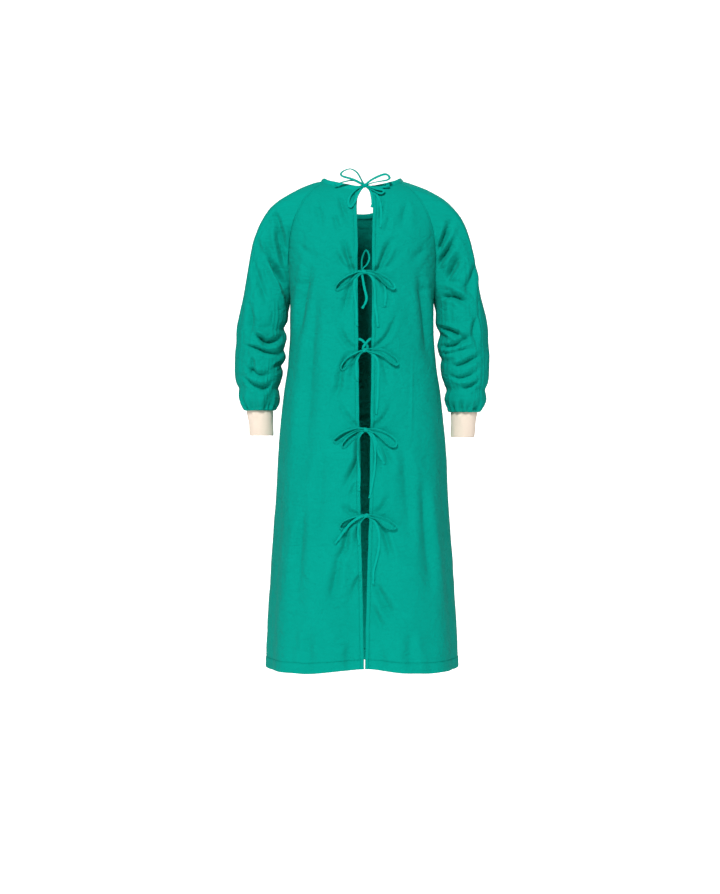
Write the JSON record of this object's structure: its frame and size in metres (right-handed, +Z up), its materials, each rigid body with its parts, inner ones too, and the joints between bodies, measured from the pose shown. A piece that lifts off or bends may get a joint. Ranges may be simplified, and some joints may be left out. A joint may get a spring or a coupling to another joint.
{
  "type": "surgical gown",
  "caption": "Long green reusable surgical gown, hollow as worn: raglan sleeves gathered into cream knit cuffs, bound neck, back opening closed with tied bows.",
  "frame": {"origin": "midway between the two shoulder points of the neck opening, where the wearer's shoulders hold the gown up", "axes": "+Z up, +Y to the gown's front, -Y to its tied back, +X to the wearer's right; seen from -Y the back opening faces the viewer and +X is to the right"},
  "size_m": [0.616, 0.3576, 1.1954],
  "materials": {
    "gown_cloth": "plain-woven poly-cotton, matt, lightly creased",
    "cuff_knit": "fine rib knit, matt",
    "binding": "folded bias strip, matt",
    "tape": "narrow woven tape, matt"
  },
  "bodies": {
    "root": {"front_panel": "gown_cloth", "back_left": "gown_cloth", "back_right": "gown_cloth", "sleeve_left": "gown_cloth", "sleeve_right": "gown_cloth", "cuff_left": "cuff_knit", "cuff_right": "cuff_knit", "neck_binding": "binding", "tie_1_left": "tape", "tie_1_right": "tape", "tie_2_left": "tape", "tie_2_right": "tape", "tie_3_left": "tape", "tie_3_right": "tape", "tie_4_left": "tape", "tie_4_right": "tape", "tie_5_left": "tape", "tie_5_right": "tape"}
  },
  "joints": []
}
